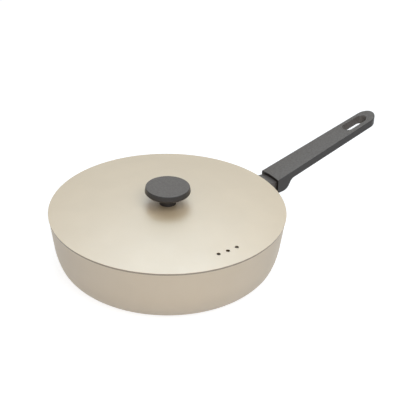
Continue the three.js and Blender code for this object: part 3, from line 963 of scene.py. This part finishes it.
def rounding_share(a, b):
    """How much of the rounding the edge between two points gets."""
    middle = (a + b) / 2
    if SLOT_NEAR - 2 * SLOT_HALF < middle.x < SLOT_FAR + SLOT_REACH and abs(middle.y) < SLOT_REACH:
        return SLOT_SHARE
    if max(a.x, b.x) < HANDLE_FRONT + NEAR:
        return FRONT_SHARE
    if abs(a.z - top_height(a.x)) < NEAR and abs(b.z - top_height(b.x)) < NEAR:
        return TOP_SHARE
    return UNDER_SHARE


def round_handle():
    """Rounds the handle's sharp edges by their shares, and gives back how many there were."""
    select_only(grip)
    bpy.ops.object.mode_set(mode="EDIT")
    bpy.ops.mesh.select_mode(type="EDGE")
    bpy.ops.mesh.select_all(action="DESELECT")
    bpy.ops.mesh.edges_select_sharp(sharpness=SHARP_ANGLE)
    bpy.ops.object.mode_set(mode="OBJECT")
    mesh = grip.data
    weights = mesh.attributes.new("bevel_weight_edge", "FLOAT", "EDGE")
    for edge in mesh.edges:
        a, b = (mesh.vertices[i].co for i in edge.vertices)
        weights.data[edge.index].value = rounding_share(a, b) if edge.select else 0
    sharp = sum(edge.select for edge in mesh.edges)
    by_weight = {"limit_method": "WEIGHT", "use_clamp_overlap": False}
    apply_modifier(grip, "BEVEL", width=EDGE_ROUNDING, segments=5, **by_weight)
    return sharp


print("edges rounded:", round_handle())

# %% [markdown]
# The top isn't flat: it crowns by about a millimetre from side to side, which shows at the front edge and
# spreads the light. Lines are cut along the bar, fanned to follow its taper, and the upper points then rise
# towards the middle.

# %% Crown the top
CROWN = 0.0013
FAN = 12


def crown_handle():
    """Cuts the handle lengthwise and raises its top towards the middle."""
    vanishing = HANDLE_FRONT + FRONT_HALF / TAPER
    for i in range(1, FAN):
        start = (2 * i / FAN - 1) * FRONT_HALF
        if abs(start) > MERGE:
            split(grip, (vanishing, 0, 0), (start, vanishing - HANDLE_FRONT, 0))
    for vertex in grip.data.vertices:
        x, y, z = vertex.co
        if z > top_height(x) - HANDLE_THICKNESS / 2:
            vertex.co.z += CROWN * (1 - (y / half_width(x)) ** 2)


crown_handle()
print("handle crowned:", len(grip.data.polygons), "faces")

# %% [markdown]
# The front has a pocket that the flame guard slips into, and a bore for the screw with a wide recess for its
# head. They are cut last, because they need no rounding.

# %% Cut the pocket and the screw's recess
washer_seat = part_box("handle_spring_washer")[0].x
SEAT_GAP = 0.0003
HEAD_GAP = 0.0007
BORE_REACH = 0.04
GUARD_SIDE_INSET = 0.0031
GUARD_TOP_INSET = 0.0028
GUARD_FOOT_INSET = 0.0022
GUARD_CORNER = 0.0012
GUARD_CROWN = 0.0008
GUARD_HALF = FRONT_HALF - GUARD_SIDE_INSET
GUARD_TOP = HANDLE_TOP - GUARD_TOP_INSET
GUARD_FOOT = handle_low.z + GUARD_FOOT_INSET
BORE_END = HANDLE_FRONT + BORE_REACH


def bar_along_x(name, half, bottom, top, start, end, corner):
    """A bar along the handle's direction, with rounded long edges."""
    clear_selection()
    bpy.ops.mesh.primitive_cube_add(size=1)
    bar = bpy.context.object
    bar.name = name
    bar.scale = (end - start, 2 * half, top - bottom)
    bar.location = ((start + end) / 2, 0, (bottom + top) / 2)
    bpy.ops.object.transform_apply(location=True, rotation=True, scale=True)

    def runs_along(edge):
        a, b = (bar.data.vertices[i].co for i in edge.vertices)
        return abs(a.x - b.x) > MERGE

    edit_chosen(bar, "EDGE", runs_along)
    bpy.ops.mesh.bevel(offset=corner, segments=6, affect="EDGES")
    bpy.ops.object.mode_set(mode="OBJECT")
    return bar


def rod_along_x(radius, start, end):
    """A rod along the handle's direction, at the level of the screw."""
    clear_selection()
    bpy.ops.mesh.primitive_cylinder_add(vertices=48, radius=radius, depth=end - start)
    rod = bpy.context.object
    move_and_apply(rod, ((start + end) / 2, 0, SCREW_LEVEL), (0, math.pi / 2, 0))
    return rod


cut(
    grip,
    bar_along_x(
        "pocket_tool",
        half=GUARD_HALF + SEAT_GAP,
        bottom=GUARD_FOOT - SEAT_GAP,
        top=GUARD_TOP + GUARD_CROWN / 2 + SEAT_GAP,
        start=HANDLE_FRONT - OVERRUN,
        end=guard_high.x + SEAT_GAP,
        corner=GUARD_CORNER + SEAT_GAP,
    ),
)
cut(grip, rod_along_x(SCREW_HOLE, HANDLE_FRONT, BORE_END))
cut(grip, rod_along_x(HEAD_RADIUS + HEAD_GAP, washer_seat, BORE_END))
finish_piece(grip, "pan", smooth_plastic, "dark_phenolic", "handle")

# %% Grain the top and the slot, and paint light on them
TOP_LEVEL = 0.9
TOP_LEAN = 0.25
SLOT_STEEP = 0.6


def on_top(face):
    """Whether a face belongs to the handle's top, and not to the rounding beside it."""
    high = face.center.z > top_height(face.center.x) - HANDLE_THICKNESS / 8
    return high and face.normal.z > TOP_LEVEL and abs(face.normal.y) < TOP_LEAN


def in_slot(face):
    """Whether a face belongs to the wall of the slot."""
    within = SLOT_NEAR - SLOT_HALF < face.center.x < SLOT_FAR + SLOT_HALF
    return within and abs(face.center.y) < SLOT_HALF and abs(face.normal.z) < SLOT_STEEP


# The paler copy on the top and in the slot is painted light.
refinish(grip, lit_grained_plastic, lambda face: on_top(face) or in_slot(face))

# %% [markdown]
# ## Flame guard
# Between wall and handle sits a short painted shell. It widens towards the pan and its end follows the wall's
# curve, so a slightly larger copy of the pan's outside is cut away from it.

# %% Shape the guard and fit it to the wall
GUARD_WALL = 0.0009
GUARD_FLARE = 0.0022
GUARD_CUTS = 4
GUARD_CUT_PITCH = GUARD_HALF / 6
GUARD_START = RIM_RADIUS - (HANDLE_FRONT - RIM_RADIUS)


def make_flame_guard():
    end = guard_high.x
    guard = bar_along_x("guard_sleeve", GUARD_HALF, GUARD_FOOT, GUARD_TOP, GUARD_START, end, GUARD_CORNER)
    for i in range(-GUARD_CUTS, GUARD_CUTS + 1):
        split(guard, (0, i * GUARD_CUT_PITCH, 0), (0, 1, 0))
    height = GUARD_TOP - GUARD_FOOT
    for vertex in guard.data.vertices:
        x, y, z = vertex.co
        if z > SCREW_LEVEL:
            vertex.co.z += GUARD_CROWN * (0.5 - (y / GUARD_HALF) ** 2)
        share = (end - x) / (end - GUARD_START)
        vertex.co.y *= 1 + share * GUARD_FLARE / GUARD_HALF
        vertex.co.z += (vertex.co.z - SCREW_LEVEL) * share * GUARD_FLARE / height
    return guard


def open_ends(piece, start, end):
    """Takes away the faces at both ends of a bar."""

    def at_end(face):
        return min(abs(face.center.x - start), abs(face.center.x - end)) < NEAR

    edit_chosen(piece, "FACE", at_end)
    bpy.ops.mesh.delete(type="FACE")
    bpy.ops.object.mode_set(mode="OBJECT")


def make_wall_tool():
    """The pan's outside as a plain solid, grown by the seat gap."""
    grown = wall_curve(RIM_RADIUS + SEAT_GAP, 0, BELLY_RADIUS + SEAT_GAP, CORNER_RADIUS + SEAT_GAP)
    section = [(0, 0), *grown, (RIM_RADIUS + SEAT_GAP, PAN_HEIGHT), (0, PAN_HEIGHT)]
    return spin_section("wall_tool", section, ROUND_STEPS)


guard_sleeve = make_flame_guard()
open_ends(guard_sleeve, GUARD_START, guard_high.x)
apply_modifier(guard_sleeve, "SOLIDIFY", thickness=GUARD_WALL, offset=-1, use_even_offset=True)
cut(guard_sleeve, make_wall_tool())
finish_piece(guard_sleeve, "pan", guard_paint, "dark_paint", "flame_guard")
nearest = min(vertex.co.xy.length for vertex in guard_sleeve.data.vertices)
print(f"guard keeps {nearest:.4f} m from the pan's axis, where the wall's inside is at {INNER_RIM:.4f} m")

# %% [markdown]
# ## Pieces that stay as they are
# The stud, the spring washer and the brass insert are hidden inside. Their solids are already right, so they
# only get a finish.

# %% Dress the hidden pieces
for node, finish in (
    ("handle_stud", bare_aluminium),
    ("handle_spring_washer", screw_steel),
    ("knob_insert", insert_brass),
):
    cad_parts[node].data.materials.clear()
    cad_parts[node].data.materials.append(finish)
    print(node, "in", finish.name)

# %% [markdown]
# ## Floor and light
# Three soft lamps light the pan. The first hangs behind it and gives the lid its sheen and the pool of shade
# in front of the knob. Its light is cool, as from a window, so the coat looks whiter in the sheen than in the
# shade. The second is wide, dim and a little warm, beside the camera, and the third is high at the front. The
# floor is matt, and what the camera and reflections see of it is lifted, so the ground comes out white.

# %% Floor
FLOOR_COLOUR = (0.40, 0.40, 0.40, 1)
FLOOR_LIFT = 0.82
FLOOR_SIZE = 12
FLOOR_DROP = 0.0002


def seen_share(tree):
    """A value that is one for the camera, for reflections and through clear things, and otherwise zero."""
    path = tree.nodes.new("ShaderNodeLightPath")
    seen = path.outputs["Is Camera Ray"]
    for ray in ("Is Glossy Ray", "Is Transmission Ray"):
        either = tree.nodes.new("ShaderNodeMath")
        either.operation = "MAXIMUM"
        tree.links.new(seen, either.inputs[0])
        tree.links.new(path.outputs[ray], either.inputs[1])
        seen = either.outputs["Value"]
    return seen


def stage_material(name, colour, lift):
    """A matt surface, with some white added only for what the camera and reflections see."""
    material = bpy.data.materials.new(name)
    material.use_nodes = True
    nodes, links = material.node_tree.nodes, material.node_tree.links
    nodes.clear()
    matt = nodes.new("ShaderNodeBsdfDiffuse")
    matt.inputs["Color"].default_value = colour
    amount = nodes.new("ShaderNodeMath")
    amount.operation = "MULTIPLY"
    amount.inputs[1].default_value = lift
    links.new(seen_share(material.node_tree), amount.inputs[0])
    glow = nodes.new("ShaderNodeEmission")
    links.new(amount.outputs["Value"], glow.inputs["Strength"])
    both = nodes.new("ShaderNodeAddShader")
    links.new(matt.outputs["BSDF"], both.inputs[0])
    links.new(glow.outputs["Emission"], both.inputs[1])
    out = nodes.new("ShaderNodeOutputMaterial")
    links.new(both.outputs["Shader"], out.inputs["Surface"])
    return material


clear_selection()
bpy.ops.mesh.primitive_plane_add(size=FLOOR_SIZE, location=(0, 0, -FLOOR_DROP))
floor = bpy.context.object
floor.name = "floor"
floor.data.materials.append(stage_material("pale_floor", FLOOR_COLOUR, FLOOR_LIFT))
print("floor laid")

# %% World
WORLD_LIGHT = 0.15


def light_world():
    """A dim even world that looks white to the camera and in reflections."""
    world = bpy.data.worlds.new("studio")
    bpy.context.scene.world = world
    world.use_nodes = True
    nodes, links = world.node_tree.nodes, world.node_tree.links
    strength = nodes.new("ShaderNodeMapRange")
    strength.inputs["To Min"].default_value = WORLD_LIGHT
    strength.inputs["To Max"].default_value = 1
    links.new(seen_share(world.node_tree), strength.inputs["Value"])
    background = nodes["Background"]
    background.inputs["Color"].default_value = (1, 1, 1, 1)
    links.new(strength.outputs["Result"], background.inputs["Strength"])


light_world()
print("world lit at", WORLD_LIGHT)

# %% Lamps
PAN_MIDDLE = Vector((0, 0, 0.05))
WINDOW_TINT = (0.68, 0.87, 1.0)
WARM_TINT = (1.0, 0.97, 0.97)
PALE_TINT = (0.84, 0.90, 1.0)


def add_softbox(name, place, width, height, brightness, tint):
    """A rectangular lamp aimed at the pan; a card whose sky it filled would show its brightness and tint."""
    clear_selection()
    bpy.ops.object.light_add(type="AREA", location=place)
    lamp = bpy.context.object
    lamp.name = name
    lamp.rotation_euler = (PAN_MIDDLE - Vector(place)).to_track_quat("-Z", "Y").to_euler()
    lamp.data.shape = "RECTANGLE"
    lamp.data.size = width
    lamp.data.size_y = height
    lamp.data.energy = brightness * math.pi * width * height
    lamp.data.color = tint


add_softbox("above", (0.387, 0.555, 1.391), width=0.75, height=0.95, brightness=2.92, tint=WINDOW_TINT)
add_softbox("front", (-0.898, -0.901, 0.845), width=2.2, height=1.3, brightness=0.82, tint=WARM_TINT)
add_softbox("right", (0.001, -0.839, 1.294), width=1.6, height=1.2, brightness=2.64, tint=PALE_TINT)
bpy.context.scene.view_settings.view_transform = "Standard"
